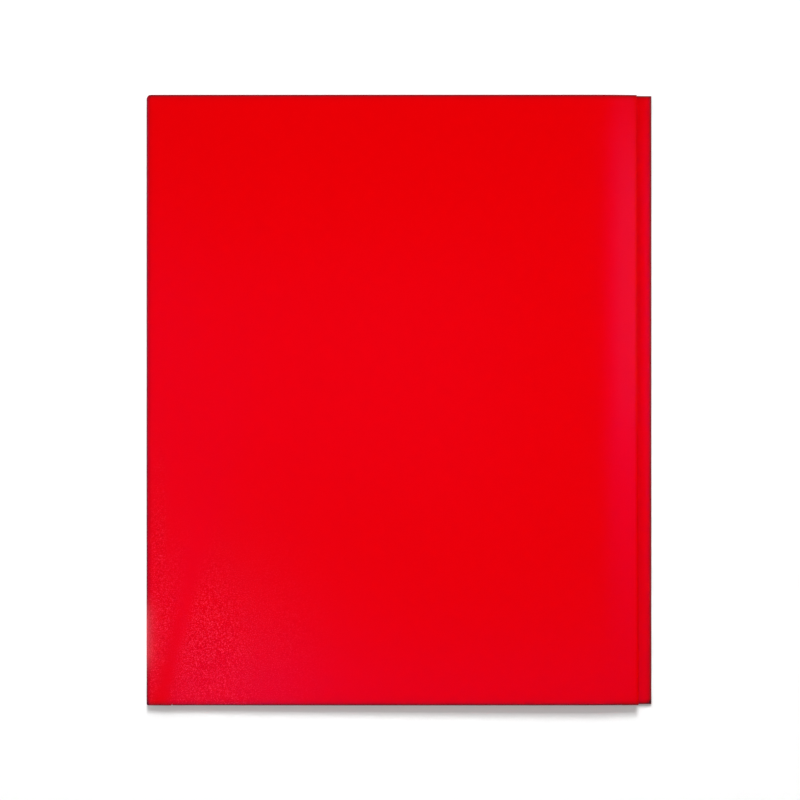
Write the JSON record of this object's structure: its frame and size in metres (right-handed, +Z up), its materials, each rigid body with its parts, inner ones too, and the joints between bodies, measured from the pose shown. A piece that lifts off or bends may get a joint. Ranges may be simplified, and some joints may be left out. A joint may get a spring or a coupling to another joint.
{
  "type": "two pocket folder",
  "caption": "Pocket folder of red polypropylene sheet: front and back cover joined by a creased spine, with a pocket folded up inside each cover to hold loose papers.",
  "frame": {"origin": "under the middle of the closed folder, on the face that it lies on", "axes": "+X from the spine to the free edges, +Y along the spine to the top edge, +Z up through the closed covers"},
  "size_m": [0.2422, 0.2922, 0.0048],
  "materials": {
    "cover_sheet": "red polypropylene with a fine sand grain",
    "crease": "the same sheet, pressed smooth and thin",
    "pocket_sheet": "the same sheet, folded up with its inner face to the cover",
    "weld": "spot welds, melted smooth"
  },
  "bodies": {
    "back_cover": {"back_cover": "cover_sheet", "back_pocket_fold": "pocket_sheet", "back_pocket_margin": "pocket_sheet", "back_pocket_welds": "weld"},
    "spine": {"spine": "cover_sheet", "back_crease": "crease", "front_crease": "crease"},
    "front_cover": {"front_cover": "cover_sheet", "front_pocket_fold": "pocket_sheet", "front_pocket_margin": "pocket_sheet", "front_pocket_welds": "weld"},
    "back_pocket": {"back_pocket": "pocket_sheet"},
    "front_pocket": {"front_pocket": "pocket_sheet"}
  },
  "joints": [
    {"name": "spine_fold", "type": "hinge", "parent": "back_cover", "child": "spine", "pos_m": [-0.11432, 0, 0], "axis": [0, 1, 0], "range_deg": [-90, 0], "deforming": ["back_crease"]},
    {"name": "cover_open", "type": "hinge", "parent": "spine", "child": "front_cover", "pos_m": [-0.11968, 0, 0.0014], "axis": [0, -1, 0], "range_deg": [0, 179.5], "deforming": ["front_crease"]},
    {"name": "back_pocket_gape", "type": "hinge", "parent": "back_cover", "child": "back_pocket", "pos_m": [0, -0.14545, 0.0006], "axis": [1, 0, 0], "range_deg": [0, 4]},
    {"name": "front_pocket_gape", "type": "hinge", "parent": "front_cover", "child": "front_pocket", "pos_m": [-0.11968, -0.14545, 0.0022], "axis": [-1, 0, -0.0087], "range_deg": [0, 4]}
  ],
  "couplings": [
    {"joint": "back_pocket_gape", "follows": "cover_open", "ratio": 0.0222},
    {"joint": "front_pocket_gape", "follows": "cover_open", "ratio": 0.0222}
  ]
}
